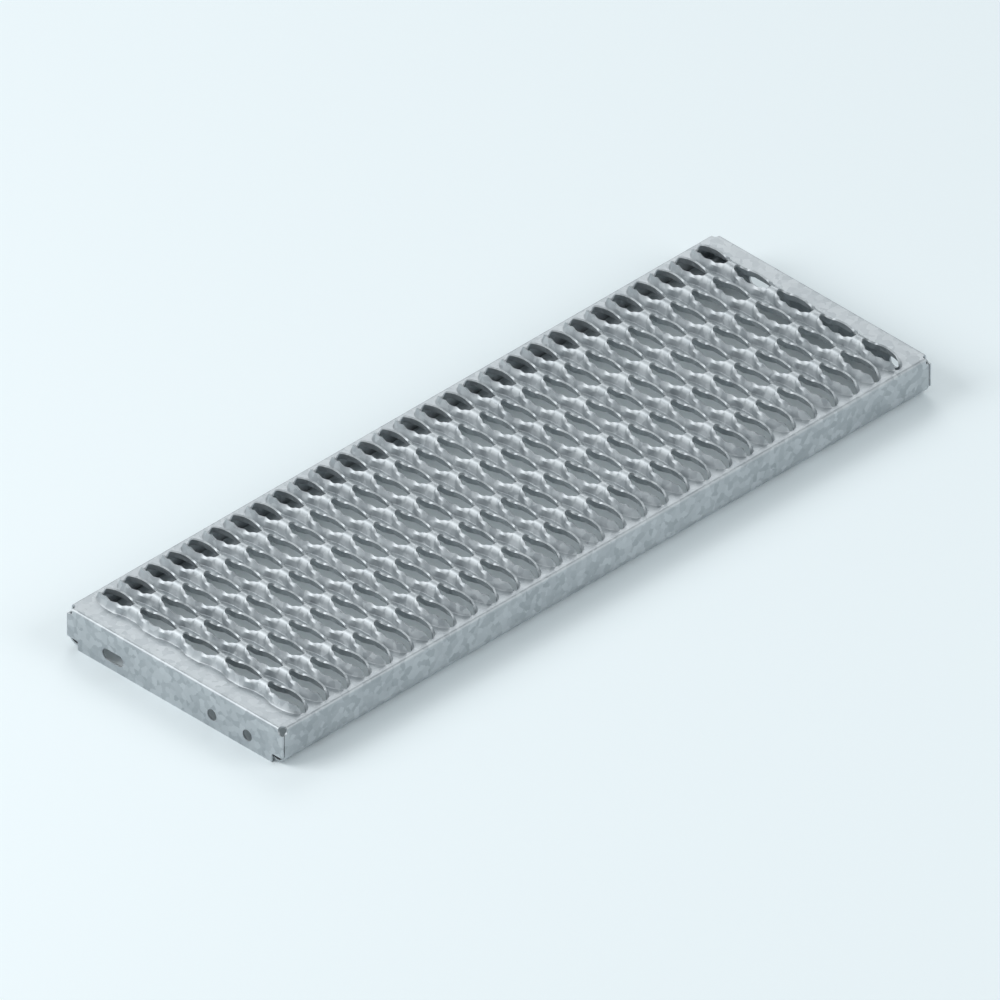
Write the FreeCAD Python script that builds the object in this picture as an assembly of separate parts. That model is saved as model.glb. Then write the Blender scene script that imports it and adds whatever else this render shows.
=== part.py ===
# Stair tread folded from one steel sheet.
# The walking face carries rows of raised ribs with lens-shaped openings and scalloped rims.
# The long sides fold down into rolled beads and the ends fold down into flanges with bolt holes.
# Frame: X along the tread's length, Y from the nosing to the back, Z up.
# The origin is the middle of the footprint, at the lower edge of the end flanges.
import FreeCAD, Part
import math
import os

from FreeCAD import Vector

# Sheet and overall size, in millimetres
sheet = 2.0                     # thickness of the steel sheet
bend_inside = 1.0               # inside radius of the folds
tread_length = 917.0            # over the outer faces of the end flanges
tread_width = 305.0             # over the outer faces of the side flanges
end_flange_depth = 46.0         # walking face down to the lower edge of an end flange

# Rolled bead under each long side
side_flange_flat = 33.0         # walking face down to the centre line of the bead
bead_radius = 10.3              # outside radius of the bead
bead_turn = 315.0               # degrees that the sheet is rolled round

# Corners
slit = 1.0                      # gap between an end flange and the end of a side flange
relief_radius = 4.0             # relief hole at each upper corner
relief_depth = 8.0              # walking face down to the bottom of the relief
notch_width = 15.5              # notch in the lower corners of the end flanges
notch_height = 10.7
notch_corner = 2.0

# Fixing holes in both end flanges, placed from the nosing
hole_drop = 30.5                # walking face down to the centre line of the holes
hole_diameter = 13.0
first_hole = 50.0               # nosing to the first round hole
hole_spacing = 50.0             # first round hole to the second
slot_spacing = 190.0            # first round hole to the middle of the slot
slot_length = 30.0
slot_width = 13.0

# Field of raised ribs and openings
row_count = 29                  # ribs along the length
row_pitch = 30.0
opening_count = 5               # openings in each rib
opening_pitch = 60.2
rib_foot = 13.5                 # half the rib's width at the walking face
rib_shoulder = 9.0              # half the rib's width at its shoulder
shoulder_height = 9.8
ridge_height = 12.7             # top of the bridges between openings
opening_half_length = 25.6      # middle of an opening to its pointed tip
tip_bend_half_width = 5.2       # where the tip's sides turn towards the rims
tip_bend_place = 22.2
rim_crest_place = 12.0          # middle of the opening to a crest of its rim, at the shoulder
rim_dip = 7.6                   # height of the dip in the middle of the rim
rib_end_lean = 80.0             # degrees from flat of the walls that close a rib's ends
rib_end_start = 12.0            # middle of the last opening to where an end wall leaves the foot
rib_end_tip = 20.5              # middle of the last opening to where an end wall dies out
rib_end_tip_half = 3.9          # half the rib's width where the end wall dies out

# Values worked out from the sizes above
bend_outside = bend_inside + sheet
half_length = tread_length / 2
half_width = tread_width / 2
face = end_flange_depth
underside = face - sheet
flange_inset = sheet + slit
clear = 5.0                     # how far cutting tools run past the sheet
wall_angle = math.atan2(shoulder_height, rib_foot - rib_shoulder)
roof_angle = math.atan2(ridge_height - shoulder_height, rib_shoulder)


def polygon_face(points):
    """Flat face bounded by straight edges through the points."""
    return Part.Face(Part.makePolygon(points + [points[0]]))


def arc_edge(centre, radius, start, end, to_point):
    """Circular arc between two angles in degrees, with points placed by to_point."""
    points = []
    for angle in (start, (start + end) / 2, end):
        turn = math.radians(angle)
        points.append(to_point(centre[0] + radius * math.cos(turn),
                               centre[1] + radius * math.sin(turn)))
    return Part.Arc(*points).toShape()


def line_edge(start, end, to_point):
    """Straight edge between two section points."""
    return Part.LineSegment(to_point(*start), to_point(*end)).toShape()


def fold_section(outer, depth, to_point, end_points):
    """Section of a quarter fold and the flange below it.

    The section lies in a plane whose first axis points inwards from the flange's outer face.
    end_points gives the edges that close the flange's lower end, from its outer to its inner side.
    """
    fold_centre = (outer + bend_outside, face - bend_outside)
    outside = arc_edge(fold_centre, bend_outside, 90, 180, to_point)
    inside = arc_edge(fold_centre, bend_inside, 180, 90, to_point)
    outer_line = line_edge((outer, face - bend_outside), (outer, depth), to_point)
    inner_line = line_edge((outer + sheet, depth), (outer + sheet, face - bend_outside), to_point)
    top_end = line_edge((outer + bend_outside, underside), (outer + bend_outside, face), to_point)
    edges = [outside, outer_line] + end_points + [inner_line, inside, top_end]
    return Part.Face(Part.Wire(edges))


def side_flange():
    """Front flange with its fold and rolled bead, along the whole tread between the slits."""
    start = -half_length + flange_inset

    def to_point(across, up):
        return Vector(start, across, up)

    outer = -half_width
    bead_height = face - side_flange_flat
    bead_centre = (outer + bead_radius, bead_height)
    inner_radius = bead_radius - sheet
    finish = 180 + bead_turn
    lip = math.radians(finish)
    lip_outer = (bead_centre[0] + bead_radius * math.cos(lip),
                 bead_centre[1] + bead_radius * math.sin(lip))
    lip_inner = (bead_centre[0] + inner_radius * math.cos(lip),
                 bead_centre[1] + inner_radius * math.sin(lip))
    roll = [
        arc_edge(bead_centre, bead_radius, 180, finish, to_point),
        line_edge(lip_outer, lip_inner, to_point),
        arc_edge(bead_centre, inner_radius, finish, 180, to_point),
    ]
    section = fold_section(outer, bead_height, to_point, roll)
    return section.extrude(Vector(-2 * start, 0, 0))


def end_flange():
    """Left end flange with its fold, holes, slot and notched lower corners."""
    def to_point(along, up):
        return Vector(along, -half_width, up)

    outer = -half_length
    foot = [line_edge((outer, 0), (outer + sheet, 0), to_point)]
    section = fold_section(outer, 0, to_point, foot)
    flange = section.extrude(Vector(0, tread_width, 0))
    return flange.cut(end_flange_cuts())


def end_flange_cuts():
    """Tools for the round holes, the slot and the two notches of the left end flange."""
    depth = sheet + 2 * clear
    start = -half_length - clear
    along = Vector(1, 0, 0)
    hole_height = face - hole_drop
    first = -half_width + first_hole
    tools = []
    for place in (first, first + hole_spacing):
        tools.append(Part.makeCylinder(hole_diameter / 2, depth, Vector(start, place, hole_height), along))

    slot_middle = first + slot_spacing
    slot_reach = (slot_length - slot_width) / 2
    for place in (slot_middle - slot_reach, slot_middle + slot_reach):
        tools.append(Part.makeCylinder(slot_width / 2, depth, Vector(start, place, hole_height), along))
    slot_corner = Vector(start, slot_middle - slot_reach, hole_height - slot_width / 2)
    tools.append(Part.makeBox(depth, 2 * slot_reach, slot_width, slot_corner))

    for side in (-1, 1):
        tools.append(notch_tool(side, start, depth))
    return tools


def notch_tool(side, start, depth):
    """Block with one rounded edge that notches a lower corner of an end flange."""
    reach = notch_width + clear
    low = side * (half_width - notch_width) if side > 0 else -half_width - clear
    block = Part.makeBox(depth, reach, notch_height + clear, Vector(start, low, -clear))
    inner = side * (half_width - notch_width)
    rounded = [edge for edge in block.Edges
               if all(abs(v.Y - inner) < 0.001 and abs(v.Z - notch_height) < 0.001 for v in edge.Vertexes)]
    return block.makeFillet(notch_corner, rounded)


def mirrored(shape, normal):
    """The shape and its mirror image through the middle of the tread."""
    return [shape, shape.mirror(Vector(0, 0, 0), normal)]


def relief_tools():
    """Tools that clear the four upper corners where the folds would meet.

    A relief is round in the walking face and square where it runs out through the two folds.
    """
    height = relief_depth + clear
    long = relief_radius + bend_outside + clear
    short = bend_outside + clear
    tools = []
    for end in (-1, 1):
        for side in (-1, 1):
            edge_x = end * (half_length - bend_outside)
            edge_y = side * (half_width - bend_outside)
            low = face - relief_depth
            tools.append(Part.makeCylinder(relief_radius, height, Vector(edge_x, edge_y, low)))
            for reach_x, reach_y in ((long, short), (short, long)):
                start_x = end * (half_length + clear) - (reach_x if end > 0 else 0)
                start_y = side * (half_width + clear) - (reach_y if side > 0 else 0)
                tools.append(Part.makeBox(reach_x, reach_y, height, Vector(start_x, start_y, low)))
    return tools


def rib_sizes(inset):
    """Half widths and heights of a rib's section, moved inwards by inset from its upper surface.

    The lower wall runs from the foot to the shoulder and the roof from the shoulder to the ridge.
    Each is moved square to itself, so the sheet keeps one thickness.
    """
    foot = rib_foot - inset / math.sin(wall_angle)
    ridge = ridge_height - inset / math.cos(roof_angle)
    shoulder = (foot * math.tan(wall_angle) - ridge) / (math.tan(wall_angle) - math.tan(roof_angle))
    height = ridge - shoulder * math.tan(roof_angle)
    return foot, shoulder, height, ridge


def rib_body(inset):
    """Solid under a rib's upper surface, or under its lower surface with inset as the sheet.

    It is a prism of the rib's section whose two ends are closed by pairs of steep slanting walls.
    """
    foot, shoulder, height, ridge = rib_sizes(inset)
    depth = sheet + clear if inset else sheet / 2
    base = foot + depth / math.tan(wall_angle)
    end = (opening_count - 1) * opening_pitch / 2 + opening_half_length
    section = [Vector(-base, -end, face - depth), Vector(-shoulder, -end, face + height),
               Vector(0, -end, face + ridge), Vector(shoulder, -end, face + height),
               Vector(base, -end, face - depth)]
    body = polygon_face(section).extrude(Vector(0, 2 * end, 0))
    return body.cut(rib_end_tools(inset))


def rib_end_tools(inset):
    """Blocks whose inner faces are the slanting walls that close both ends of a rib."""
    last = (opening_count - 1) * opening_pitch / 2
    run = Vector(rib_foot - rib_end_tip_half, -(rib_end_tip - rib_end_start), 0)
    run.normalize()
    lean = math.radians(rib_end_lean)
    size = 4 * opening_pitch
    tools = []
    for side in (-1, 1):
        for end in (-1, 1):
            outward = Vector(-side * run.y, end * run.x, 0) * math.sin(lean) + Vector(0, 0, math.cos(lean))
            foot = Vector(side * rib_foot, end * (last + rib_end_start), face) - outward * inset
            block = Part.makeBox(size, size, size, Vector(-size / 2, -size / 2, 0))
            block.Placement = FreeCAD.Placement(foot, FreeCAD.Rotation(Vector(0, 0, 1), outward))
            tools.append(block)
    return tools


def opening_tool(side):
    """Tool that cuts one side of an opening, from its middle plane out through the rim.

    The edge on the rib's upper surface runs from one pointed tip down to a crest at the shoulder,
    through the dip in the middle of the rim and back up to the other tip. The cut goes through
    the sheet in one slanting direction, from the inner shoulder to the outer one, so each rim
    keeps a square edge.
    """
    inner_shoulder, inner_height = rib_sizes(sheet)[1:3]
    slant = (shoulder_height - inner_height) / (rib_shoulder - inner_shoulder)
    half_edge = [
        (0, opening_half_length, ridge_height),
        (tip_bend_half_width, tip_bend_place, ridge_height - tip_bend_half_width * math.tan(roof_angle)),
        (rib_shoulder, rim_crest_place, shoulder_height),
        (rib_foot - rim_dip / math.tan(wall_angle), 0, rim_dip),
    ]
    edge = [(x, -y, z) for x, y, z in half_edge] + half_edge[-2::-1]
    points = [Vector(0, y, face + z - x * slant) for x, y, z in edge]
    top = face + ridge_height + clear
    points += [Vector(0, opening_half_length, top), Vector(0, -opening_half_length, top)]
    reach = rib_foot
    return polygon_face(points).extrude(Vector(side * reach, 0, reach * slant))


def opening_tools():
    """Tools for both sides of every opening in one rib."""
    tools = []
    for across in opening_places():
        for side in (-1, 1):
            tools.append(opening_tool(side).translated(Vector(0, across, 0)))
    return tools


def row_places():
    """Middle of each rib along the tread."""
    return [(row - (row_count - 1) / 2) * row_pitch for row in range(row_count)]


def opening_places():
    """Middle of each opening across the tread."""
    return [(place - (opening_count - 1) / 2) * opening_pitch for place in range(opening_count)]


def raised_rib():
    """One rib as folded sheet, open below, with its openings and scalloped rims cut."""
    return rib_body(0).cut([rib_body(sheet)] + opening_tools())


def flat_face():
    """Flat of the walking face between the folds, open under every rib."""
    width = tread_width - 2 * bend_outside
    length = tread_length - 2 * bend_outside
    plate = Part.makeBox(length, width, sheet, Vector(-length / 2, -width / 2, underside))
    hollow = rib_body(sheet)
    tools = [hollow.translated(Vector(along, 0, 0)) for along in row_places()]
    return plate.cut(tools)


def tread():
    """The whole folded sheet as one solid."""
    rib = raised_rib()
    pieces = [rib.translated(Vector(along, 0, 0)) for along in row_places()]
    pieces += mirrored(side_flange(), Vector(0, 1, 0))
    pieces += mirrored(end_flange(), Vector(1, 0, 0))
    sheet_metal = flat_face().fuse(pieces)
    return sheet_metal.cut(relief_tools()).removeSplitter()


os.makedirs("parts", exist_ok=True)
shape = tread()
print("solids", len(shape.Solids), "valid", shape.isValid(), "volume", round(shape.Volume, 1))
shape.exportStep("parts/tread.step")
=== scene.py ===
import math

import bpy
import numpy as np
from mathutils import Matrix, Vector
from mathutils.geometry import delaunay_2d_cdt


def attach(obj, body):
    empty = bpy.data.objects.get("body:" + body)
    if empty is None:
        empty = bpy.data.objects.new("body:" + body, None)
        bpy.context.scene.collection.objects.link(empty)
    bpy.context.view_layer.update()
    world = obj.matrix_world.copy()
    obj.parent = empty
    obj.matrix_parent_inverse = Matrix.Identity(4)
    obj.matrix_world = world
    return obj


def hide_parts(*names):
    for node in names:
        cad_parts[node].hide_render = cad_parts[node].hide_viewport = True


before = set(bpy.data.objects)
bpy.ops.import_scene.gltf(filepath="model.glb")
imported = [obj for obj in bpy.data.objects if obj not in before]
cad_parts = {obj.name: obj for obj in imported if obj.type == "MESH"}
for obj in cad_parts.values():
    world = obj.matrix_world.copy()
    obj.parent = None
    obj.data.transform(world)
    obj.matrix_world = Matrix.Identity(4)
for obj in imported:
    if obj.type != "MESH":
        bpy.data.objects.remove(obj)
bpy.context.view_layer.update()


# The walking face: one 2 mm steel sheet, pressed up into rows of ribs while it was still flat.
# Each rib carries a row of lens-shaped openings with scalloped rims, joined by rounded bridges,
# and the press leaves a narrow flat strand between neighbouring ribs. Sizes are in millimetres.

LENGTH, WIDTH, FACE, SHEET = 917.0, 305.0, 46.0, 2.0
FOLD_OUTSIDE = 3.0
ROWS, ROW_PITCH = 29, 30.0
OPENINGS, OPENING_PITCH = 5, 60.2

FOLD_X = LENGTH / 2 - FOLD_OUTSIDE
FOLD_Y = WIDTH / 2 - FOLD_OUTSIDE
RIB_MIDDLES = (np.arange(ROWS) - (ROWS - 1) / 2) * ROW_PITCH
OPENING_MIDDLES = (np.arange(OPENINGS) - (OPENINGS - 1) / 2) * OPENING_PITCH


def smooth(start, end, value):
    """Smooth step: three t squared less two t cubed, with t running from start to end."""
    t = np.clip((value - start) / (end - start), 0, 1)
    return t * t * (3 - 2 * t)


def through(points, value):
    """Smooth curve through (place, height) points: a cubic between each two of them.

    Its slope at each point is that of the line between the two neighbours.
    """
    place, height = np.array(points, float).T
    slope = np.gradient(height, place)
    i = np.clip(np.searchsorted(place, value, side="right") - 1, 0, len(place) - 2)
    run = place[i + 1] - place[i]
    t = np.clip((value - place[i]) / run, 0, 1)
    start = (2 * t - 3) * t * t + 1
    return (start * height[i] + (1 - start) * height[i + 1]
            + t * (1 - t) * run * ((1 - t) * slope[i] - t * slope[i + 1]))


def between(points, value):
    """Straight lines from one (place, size) point to the next, and level past both ends."""
    return np.interp(value, *np.transpose(points))


# Half width and height of an opening's rim against the distance from its middle. The rim dips in
# the middle, crests on each side, steps in to a neck and closes in a rounded tip.
CREST, WAIST, TIP = 8.2, 9.8, 25.4
NECK, NECK_WIDTH = 23.8, 3.9
BRIDGE_TOP = 12.7
RIM_WIDTH = [
    (-4.1, 9.9), (0, 10.6), (4.1, 9.9), (CREST, 8.65), (12.0, 8.55), (14.8, 7.95),
    (16.4, 7.05), (18.2, 5.95), (20.2, 5.4), (22.3, 5.0), (NECK, NECK_WIDTH),
]
RIM_HEIGHT = [
    (-4.1, 9.2), (0, 8.7), (4.1, 9.2), (CREST, 9.8), (12.0, 9.25), (14.8, 8.8), (16.4, 9.1),
    (18.2, 9.75), (20.2, 10.15), (22.3, 10.5), (NECK, 11.2), (TIP, BRIDGE_TOP), (28, BRIDGE_TOP),
]

# Each end of a rib closes without a bridge: past the crest, its last rim sinks to the sheet.
END_WIDTH = [
    (CREST, 8.65), (WAIST, 8.65), (12.0, 8.75), (14.8, 8.0), (16.4, 7.15), (18.2, 6.15),
    (20.2, 5.5), (22.3, 4.6), (NECK, 3.2), (24.9, 1.8), (TIP, 0),
]
END_HEIGHT = [
    (CREST, 9.8), (WAIST, 9.4), (12.0, 8.6), (14.8, 8.45), (16.4, 8.5), (18.2, 8.4),
    (20.2, 7.6), (22.3, 4.6), (NECK, 0),
]

# Up to the waist, and at both ends of a rib, the wall is straight and its shoulder only a place
# on it. Past the waist the foot steps inwards under the shoulder, so the bridges are narrow
# below and arched above.
FOOT = 13.5
FOOT_OVAL, FOOT_OVAL_POWER = 25.6, 2.2
SHOULDER_SHARE = 0.56
SHOULDER_WIDTH = [(WAIST, 11.0), (16.4, 10.5), (22.3, 8.0), (24.9, 7.5), (30.1, 7.8)]
SHOULDER_HEIGHT = [(WAIST, 5.6), (16.4, 7.2), (22.3, 4.5), (24.9, 4.8)]
FOOT_WIDTH = [(WAIST, FOOT), (11.0, 12.9), (14.8, 11.1), (18.2, 10.1), (22.3, 9.2)]
PAN_DEPTH = [(WAIST, 0), (16.4, 0.5), (22.3, 0.75)]
ARCH_START, ARCH_FULL = 20, 26


def rib_section(y):
    """Rim, shoulder and foot of a rib at each place y, each as a half width and a height.

    Between openings the rim is the ridge itself, and the foot stands in a shallow pan. At both
    ends of a rib the rim sinks steeply to the sheet, while the foot follows half an oval and the
    wall is straight. A rounded tip narrows as the square root of what is left to its end. The
    last value is the arch's share, from 0 beside an opening to 1 on a bridge.
    """
    middle = np.clip(np.round(y / OPENING_PITCH), -(OPENINGS // 2), OPENINGS // 2) * OPENING_PITCH
    away = np.abs(y - middle)
    last = np.abs(y) > OPENING_MIDDLES[-1]

    tip = NECK_WIDTH * np.sqrt(np.clip((TIP - away) / (TIP - NECK), 0, 1))
    rim = np.where(away < NECK, through(RIM_WIDTH, away), tip)
    height = through(RIM_HEIGHT, away)
    closing = last & (away > CREST)
    rim = np.where(closing, between(END_WIDTH, away), rim)
    height = np.where(closing, between(END_HEIGHT, away), height)

    oval = FOOT * np.sqrt(np.clip(1 - (away / FOOT_OVAL) ** FOOT_OVAL_POWER, 0, 1))
    foot = np.where(last, oval, between(FOOT_WIDTH, away))
    pan = np.where(last, 0, -between(PAN_DEPTH, away))
    straight = last | (away < WAIST)
    wide = np.where(straight, foot + SHOULDER_SHARE * (rim - foot), between(SHOULDER_WIDTH, away))
    high = np.where(straight, SHOULDER_SHARE * height, between(SHOULDER_HEIGHT, away))
    arch = np.where(last, 0, smooth(ARCH_START, ARCH_FULL, away))
    return (rim, height), (wide, high), (foot, pan), arch


def rib_rows():
    """Places across the tread where the ribs' surfaces are worked out, closest at the tips."""
    steps = np.array([place for place, size in RIM_WIDTH + END_WIDTH] + [OPENING_PITCH / 2])
    steps = np.concatenate([-steps, steps])
    rows = np.unique(np.round(OPENING_MIDDLES[:, None] + steps, 4))
    return rows[np.abs(rows) <= OPENING_MIDDLES[-1] + TIP + 0.001]


# Two points of a bridge's arch, each as its share of the way from the ridge to the shoulder and
# its rise over that straight line. Two more points, up the wall and out on the sheet, round the
# foot off.
ARCH = [(0.36, 2.2), (0.72, 2.75)]
FOOT_UP_SHARE, FOOT_OUT = 0.13, 1.0


def rib_half(rows):
    """Half a rib as a grid: rows across the tread, columns from the rim out to the strand.

    The columns are the rim, two points on the way to the shoulder, which a bridge lifts into a
    round arch, the shoulder, two points that round the foot off, and the middle of the strand.
    """
    rim, shoulder, foot, arch = rib_section(rows)
    x, z = [rim[0]], [rim[1]]
    for share, rise in ARCH:
        x.append(rim[0] + share * (shoulder[0] - rim[0]))
        z.append(rim[1] + share * (shoulder[1] - rim[1]) + rise * arch)
    strand = np.full_like(rows, ROW_PITCH / 2)
    outside = foot[0] + FOOT_OUT
    x += [shoulder[0], foot[0] + FOOT_UP_SHARE * (shoulder[0] - foot[0]), outside, strand]
    z += [shoulder[1], foot[1] + FOOT_UP_SHARE * (shoulder[1] - foot[1])]
    z += [foot[1] * (strand - outside) / (strand - foot[0]), np.zeros_like(rows)]
    return np.column_stack(x), np.column_stack(z)


def grid_faces(rows, columns):
    """Corner numbers of the four-sided faces of a grid, counter-clockwise."""
    corner = (np.arange(rows - 1)[:, None] * columns + np.arange(columns - 1)).ravel()
    return np.column_stack([corner, corner + 1, corner + columns + 1, corner + columns])


patches = []
rows = rib_rows()
half_x, half_z = rib_half(rows)
faces = grid_faces(*half_x.shape)
across = np.repeat(rows, half_x.shape[1])
for middle in RIB_MIDDLES:
    for side in (-1, 1):
        points = np.column_stack([middle + side * half_x.ravel(), across, FACE + half_z.ravel()])
        patches.append((points, faces[:, ::side]))


# The margins of the walking face: the flat sheet left round the field of ribs, up to the folds.
# A round relief at each corner clears the two folds, so the corners stay open.

RELIEF = 4.0


def flat_fill(loops):
    """Triangles that fill the first loop less the others, by which side of them a middle lies."""
    corners = np.concatenate(loops)
    edges, first = [], 0
    for loop in loops:
        number = np.arange(len(loop))
        edges += (first + np.column_stack([number, np.roll(number, -1)])).tolist()
        first += len(loop)
    result = delaunay_2d_cdt([Vector(c) for c in corners.tolist()], edges, [], 0, 1e-7)
    points = np.array([tuple(v) for v in result[0]])
    triangles = np.array(result[2])
    middle = points[triangles].mean(axis=1)
    inside = np.zeros(len(triangles), bool)
    for loop in loops:
        for (x0, y0), (x1, y1) in zip(loop, np.roll(loop, -1, axis=0)):
            crosses = (y0 > middle[:, 1]) != (y1 > middle[:, 1])
            reach = x0 + (middle[:, 1] - y0) * (x1 - x0) / (y1 - y0 if y1 != y0 else 1)
            inside ^= crosses & (middle[:, 0] < reach)
    triangles = triangles[inside]
    a, b, c = (points[triangles[:, i]] for i in range(3))
    turn = (b - a)[:, 0] * (c - a)[:, 1] - (b - a)[:, 1] * (c - a)[:, 0]
    triangles[turn < 0] = triangles[turn < 0][:, ::-1]
    return points, triangles


def arc_points(x, y, radius, start, end, count):
    """Points on a circle about (x, y), at even steps between two angles in degrees."""
    angle = np.radians(np.linspace(start, end, count))
    return np.column_stack([x + radius * np.cos(angle), y + radius * np.sin(angle)])


field_x = RIB_MIDDLES[-1] + ROW_PITCH / 2
field_y = rows[-1]
edge_x = RIB_MIDDLES[:, None] + np.concatenate([half_x[-1], -half_x[-1]])
edge_x = np.unique(np.round(edge_x, 6))
field = np.concatenate([
    np.column_stack([edge_x, np.full_like(edge_x, -field_y)]),
    np.column_stack([np.full_like(rows, field_x), rows])[1:-1],
    np.column_stack([edge_x, np.full_like(edge_x, field_y)])[::-1],
    np.column_stack([np.full_like(rows, -field_x), rows])[1:-1][::-1],
])
border = np.concatenate([
    arc_points(-FOLD_X, -FOLD_Y, RELIEF, 90, 0, 9),
    arc_points(FOLD_X, -FOLD_Y, RELIEF, 180, 90, 9),
    arc_points(FOLD_X, FOLD_Y, RELIEF, 270, 180, 9),
    arc_points(-FOLD_X, FOLD_Y, RELIEF, 0, -90, 9),
])
flat, triangles = flat_fill([border, field])
patches.append((np.column_stack([flat, np.full(len(flat), FACE)]), triangles))


# The long sides: each is folded straight down and its lower edge rolled inwards into a bead,
# which stiffens the nosing and leaves no sharp edge. They stop 1 mm short of the end flanges.

SIDE_FLAT = 33.0
BEAD = 10.3
BEAD_TURN = 315.0
RELIEF_DEPTH = 8.0


def swept(profile, stations, place):
    """Profile carried along a straight path: one row of points for each station."""
    points = np.concatenate([place(profile, station) for station in stations])
    return points, grid_faces(len(stations), len(profile))


def side_patch(side, profile, stations):
    """A profile of (distance in from the outer face, height) swept along one long side."""
    def place(points, station):
        outwards = side * (WIDTH / 2 - points[:, 0])
        return np.column_stack([np.full(len(points), station), outwards, points[:, 1]])
    points, quads = swept(profile, stations, place)
    return points, quads[:, ::-side]


fold = arc_points(FOLD_OUTSIDE, FACE - FOLD_OUTSIDE, FOLD_OUTSIDE, 90, 180, 6)
relief = arc_points(0, FACE - RELIEF_DEPTH + RELIEF, RELIEF, 180, 270, 7)
upper = np.concatenate([fold, relief * [0, 1]])
bead = arc_points(BEAD, FACE - SIDE_FLAT, BEAD, 180, 180 + BEAD_TURN, 22)
lower = np.concatenate([[[0, FACE - RELIEF_DEPTH]], bead])
reach = FOLD_X + np.concatenate([np.full(len(fold), -RELIEF), relief[:, 0]])
for side in (-1, 1):
    patches.append(side_patch(side, upper, [-reach, reach]))
    patches.append(side_patch(side, lower, [-FOLD_X, FOLD_X]))


# The ends: each is folded down into a flat flange that bolts to the stringer, with two round
# holes near the nosing, a slot near the back, and lower corners notched to clear the beads.

HOLE_DROP, HOLE = 30.5, 13.0
HOLE_PLACES = (50.0, 100.0)
SLOT_PLACE, SLOT_LENGTH, SLOT_WIDTH = 240.0, 30.0, 13.0
NOTCH_WIDTH, NOTCH_HEIGHT, NOTCH_CORNER = 15.5, 10.7, 2.0


def end_patch(side, profile, stations):
    """A profile of (distance in from the outer face, height) swept along one end."""
    def place(points, station):
        outwards = side * (LENGTH / 2 - points[:, 0])
        return np.column_stack([outwards, np.full(len(points), station), points[:, 1]])
    points, quads = swept(profile, stations, place)
    return points, quads[:, ::side]


inner = FOLD_Y - RELIEF
hole_z = FACE - HOLE_DROP
notch_y = WIDTH / 2 - NOTCH_WIDTH
right = np.concatenate([
    [[notch_y, 0]],
    arc_points(notch_y + NOTCH_CORNER, NOTCH_HEIGHT - NOTCH_CORNER, NOTCH_CORNER, 180, 90, 7),
    [[WIDTH / 2, NOTCH_HEIGHT], [WIDTH / 2, FACE - RELIEF_DEPTH]],
    (relief + [FOLD_Y, 0])[::-1],
    [[inner, FACE - FOLD_OUTSIDE]],
])
outline = np.concatenate([right, right[::-1] * [-1, 1]])
loops = [outline]
for place in HOLE_PLACES:
    loops.append(arc_points(place - WIDTH / 2, hole_z, HOLE / 2, 0, 360, 33)[:-1])
half_slot = (SLOT_LENGTH - SLOT_WIDTH) / 2
slot_y = SLOT_PLACE - WIDTH / 2
loops.append(np.concatenate([
    arc_points(slot_y + half_slot, hole_z, SLOT_WIDTH / 2, -90, 90, 17),
    arc_points(slot_y - half_slot, hole_z, SLOT_WIDTH / 2, 90, 270, 17),
]))
plate, triangles = flat_fill(loops)
for side in (-1, 1):
    outer = np.full(len(plate), side * LENGTH / 2)
    patches.append((np.column_stack([outer, plate[:, 0], plate[:, 1]]), triangles[:, ::side]))
    patches.append(end_patch(side, fold, [-inner, inner]))


# The finished tread: the surfaces above are the outside of one sheet, so they are welded into
# one skin, which is then given the sheet's thickness inwards, square to itself at every point.


def weld(pieces, step=0.002):
    """All the pieces as one mesh, with points that fall in the same small step made one."""
    points, faces, first = [], [], 0
    for piece_points, piece_faces in pieces:
        points.append(piece_points)
        faces += (piece_faces + first).tolist()
        first += len(piece_points)
    points = np.concatenate(points)
    keys = np.round(points / step).astype(np.int64)
    _, keep, number = np.unique(keys, axis=0, return_index=True, return_inverse=True)
    number = number.ravel()
    welded = []
    for face in faces:
        corners = [int(number[corner]) for corner in face]
        corners = [c for i, c in enumerate(corners) if c != corners[i - 1]]
        if len(corners) > 2:
            welded.append(corners)
    return points[keep] / 1000, welded


points, faces = weld(patches)
skin = bpy.data.meshes.new("tread_skin")
skin.from_pydata(points.tolist(), [], faces)
skin.validate()
skin.polygons.foreach_set("use_smooth", np.ones(len(skin.polygons), bool))
skin_object = bpy.data.objects.new("tread_skin", skin)
bpy.context.scene.collection.objects.link(skin_object)
thicken = skin_object.modifiers.new("sheet_thickness", "SOLIDIFY")
thicken.thickness = SHEET / 1000
thicken.offset = -1
thicken.use_even_offset = True
thicken.use_rim = True
depsgraph = bpy.context.evaluated_depsgraph_get()
mesh = bpy.data.meshes.new_from_object(skin_object.evaluated_get(depsgraph))
bpy.data.objects.remove(skin_object)
mesh.name = "folded_tread"
mesh.set_sharp_from_angle(angle=math.radians(58))

tread = bpy.data.objects.new("folded_tread", mesh)
bpy.context.scene.collection.objects.link(tread)
flatten = tread.modifiers.new("flat_faces_shade_flat", "WEIGHTED_NORMAL")
flatten.keep_sharp = True
flatten.weight = 60


# Hot-dip galvanised steel: zinc freezes on the sheet in pale patches with ragged edges. It is
# matt to satin, a little uneven in brightness from place to place, and faintly grained.

PATCH, RAGGED_EDGE, EDGE_WANDER = 7.0, 3.0, 3.5
CLOUD, GRAIN = 60.0, 1.6


def linear(code):
    """An sRGB hex colour as linear red, green, blue and alpha."""
    parts = [int(code[i:i + 2], 16) / 255 for i in (1, 3, 5)]
    return [p / 12.92 if p <= 0.04045 else ((p + 0.055) / 1.055) ** 2.4 for p in parts] + [1.0]


def node(tree, kind, settings=(), links=()):
    """Adds a node, sets its properties and inputs, and links its inputs to other sockets."""
    made = tree.nodes.new(kind)
    for name, value in dict(settings).items():
        if name in made.inputs:
            made.inputs[name].default_value = value
        else:
            setattr(made, name, value)
    for name, socket in dict(links).items():
        tree.links.new(socket, made.inputs[name])
    return made


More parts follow.
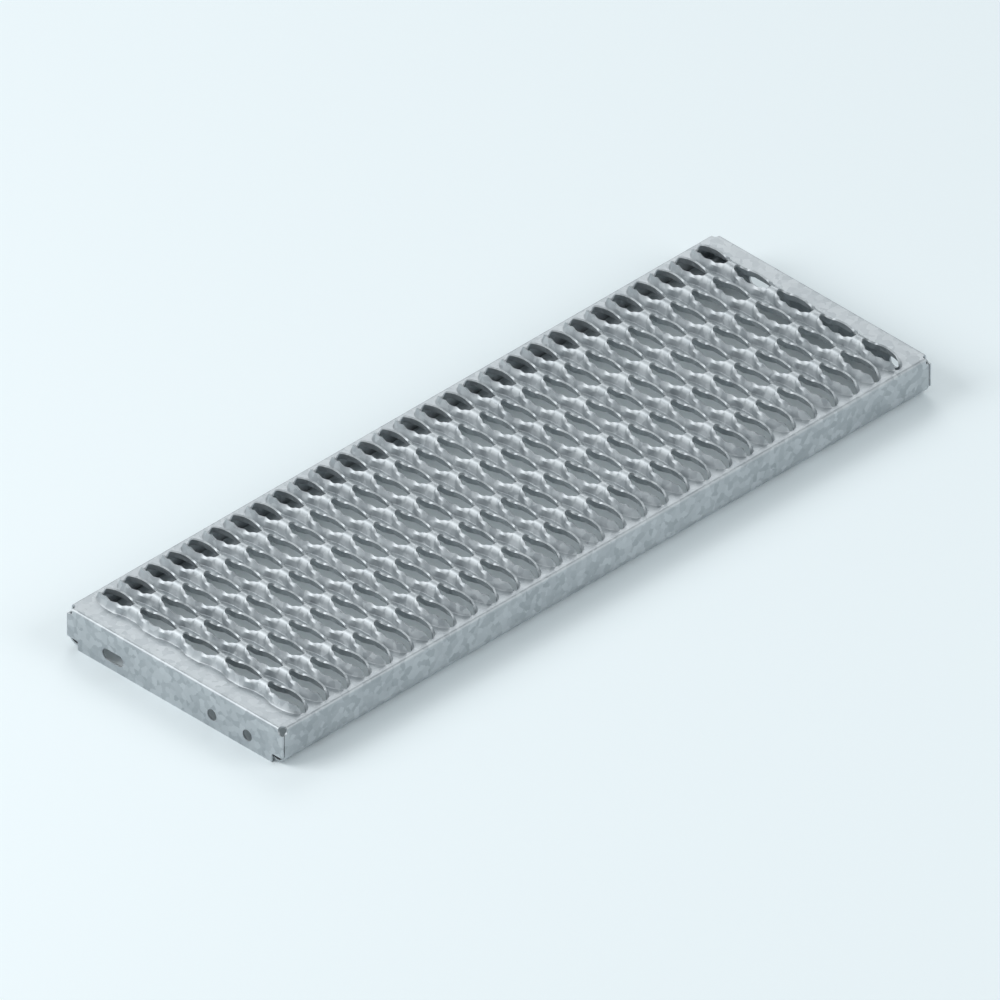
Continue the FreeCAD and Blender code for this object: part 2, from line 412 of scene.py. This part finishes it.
zinc = bpy.data.materials.new("hot_dip_galvanised_steel")
zinc.use_nodes = True
tree = zinc.node_tree
tree.nodes.clear()
place_node = node(tree, "ShaderNodeTexCoord")
object_place = place_node.outputs["Object"]
feather = node(tree, "ShaderNodeTexNoise", {"Scale": 1000 / RAGGED_EDGE, "Detail": 3.0},
               {"Vector": object_place})
ragged = node(tree, "ShaderNodeVectorMath", {"operation": "MULTIPLY_ADD"})
ragged.inputs[1].default_value = [EDGE_WANDER / 1000] * 3
tree.links.new(feather.outputs["Color"], ragged.inputs[0])
tree.links.new(object_place, ragged.inputs[2])
spangle = node(tree, "ShaderNodeTexVoronoi", {"Scale": 1000 / PATCH, "Randomness": 1.0},
               {"Vector": ragged.outputs["Vector"]})
cloud = node(tree, "ShaderNodeTexNoise", {"Scale": 1000 / CLOUD, "Detail": 4.0},
             {"Vector": object_place})
grain = node(tree, "ShaderNodeTexNoise", {"Scale": 1000 / GRAIN, "Detail": 3.0},
             {"Vector": object_place})
patch_value = node(tree, "ShaderNodeSeparateColor", {}, {"Color": spangle.outputs["Color"]})
tone = node(tree, "ShaderNodeMix", {"data_type": "FLOAT", "Factor": 0.5},
            {"A": patch_value.outputs["Red"], "B": cloud.outputs["Fac"]})
colour = node(tree, "ShaderNodeValToRGB", {}, {"Fac": tone.outputs["Result"]})
colour.color_ramp.elements[0].position = 0.2
colour.color_ramp.elements[0].color = linear("#A4AAAE")
colour.color_ramp.elements[1].position = 0.8
colour.color_ramp.elements[1].color = linear("#C6CBCE")
rough = node(tree, "ShaderNodeMapRange", {"To Min": 0.44, "To Max": 0.6},
             {"Value": tone.outputs["Result"]})
bump = node(tree, "ShaderNodeBump", {"Strength": 0.25, "Distance": 0.0001},
            {"Height": grain.outputs["Fac"]})
metal = node(tree, "ShaderNodeBsdfPrincipled", {"Metallic": 0.85},
             {"Base Color": colour.outputs["Color"], "Roughness": rough.outputs["Result"],
              "Normal": bump.outputs["Normal"]})
node(tree, "ShaderNodeOutputMaterial", {}, {"Surface": metal.outputs["BSDF"]})
mesh.materials.clear()
mesh.materials.append(zinc)

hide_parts("tread")
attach(tread, "root")


# The studio: a plain pale floor under the tread, a pale sky that metal and camera both see,
# and large soft lamps at a plain level, so a colour renders about as it is written.

HALF_FLOOR = 12.0
BACKDROP = linear("#EEF6F9")

floor_mesh = bpy.data.meshes.new("studio_floor")
corners = np.array([[-1, -1, 0], [1, -1, 0], [1, 1, 0], [-1, 1, 0]]) * HALF_FLOOR
floor_mesh.from_pydata(corners.tolist(), [], [(0, 1, 2, 3)])
floor = bpy.data.objects.new("studio_floor", floor_mesh)
bpy.context.scene.collection.objects.link(floor)
paper = bpy.data.materials.new("pale_backdrop_paper")
paper.use_nodes = True
paper.node_tree.nodes["Principled BSDF"].inputs["Base Color"].default_value = BACKDROP
paper.node_tree.nodes["Principled BSDF"].inputs["Roughness"].default_value = 0.9
floor_mesh.materials.append(paper)

world = bpy.data.worlds.new("studio_sky")
bpy.context.scene.world = world
world.use_nodes = True
world.node_tree.nodes["Background"].inputs["Color"].default_value = BACKDROP
world.node_tree.nodes["Background"].inputs["Strength"].default_value = 0.49


def soft_lamp(name, place, size, power):
    """A square area lamp at a place in metres, aimed at the middle of the tread."""
    lamp = bpy.data.lights.new(name, "AREA")
    lamp.size = size
    lamp.energy = power
    made = bpy.data.objects.new(name, lamp)
    made.location = place
    made.rotation_euler = (-Vector(place)).to_track_quat("-Z", "Y").to_euler()
    bpy.context.scene.collection.objects.link(made)


soft_lamp("key_lamp", (-2.9, 1.7, 2.5), 2.4, 92)
soft_lamp("fill_lamp", (1.2, -3.0, 2.2), 2.4, 41)
soft_lamp("back_lamp", (2.2, 2.6, 2.8), 2.2, 37)

# The camera looks along an isometric direction, square to the drawing, with one millimetre to
# a pixel, and the near upper corner of the tread lies where the drawing has it.

TURN, RISE = math.radians(-45), math.atan(1 / math.sqrt(2))
PICTURE = 1000
CORNER_X, CORNER_Y = 282.59, 730.89
CAMERA_AWAY = 3

ahead = Vector((-math.sin(TURN) * math.cos(RISE), math.cos(TURN) * math.cos(RISE), -math.sin(RISE)))
across_view = Vector((math.cos(TURN), math.sin(TURN), 0))
up_view = across_view.cross(ahead)
near_corner = Vector((-LENGTH / 2, -WIDTH / 2, FACE)) / 1000
view_middle = (near_corner + across_view * (PICTURE / 2 - CORNER_X) / 1000
               + up_view * (CORNER_Y - PICTURE / 2) / 1000)
camera_data = bpy.data.cameras.new("drawing_camera")
camera_data.type = "ORTHO"
camera_data.ortho_scale = 1.0
camera_data.clip_end = 50
camera = bpy.data.objects.new("drawing_camera", camera_data)
camera.location = view_middle - ahead * CAMERA_AWAY
camera.rotation_euler = ahead.to_track_quat("-Z", "Y").to_euler()
bpy.context.scene.collection.objects.link(camera)
bpy.context.scene.camera = camera
bpy.context.scene.view_settings.view_transform = "Standard"
